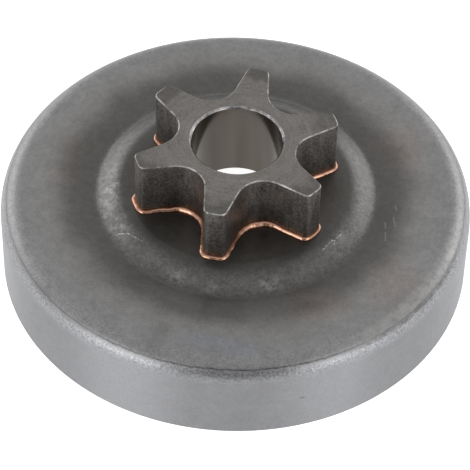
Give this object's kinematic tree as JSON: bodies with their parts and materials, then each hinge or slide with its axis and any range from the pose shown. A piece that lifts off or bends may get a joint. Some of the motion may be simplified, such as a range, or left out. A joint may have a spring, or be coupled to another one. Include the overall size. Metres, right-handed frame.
{
  "type": "chainsaw sprocket",
  "caption": "Chainsaw clutch drum: a pressed steel cup, open on one side, with a toothed spur sprocket brazed to its face. It runs on a needle bearing and drives the saw chain.",
  "frame": {"origin": "on the axis, in the plane of the drum's open rim", "axes": "+Z along the axis from the open rim towards the sprocket; one tooth points along -Y"},
  "size_m": [0.068, 0.068, 0.0235],
  "materials": {
    "drum_steel": "satin turned wall, dull pressed face with a brown heat tint round the boss",
    "sprocket_steel": "fine ground top face and bore, dark granular tooth sides, bright worn edges",
    "copper_braze": "smooth copper bead"
  },
  "bodies": {
    "root": {"clutch_drum": "drum_steel", "spur_sprocket": "sprocket_steel", "braze_ring": "copper_braze"}
  },
  "joints": []
}
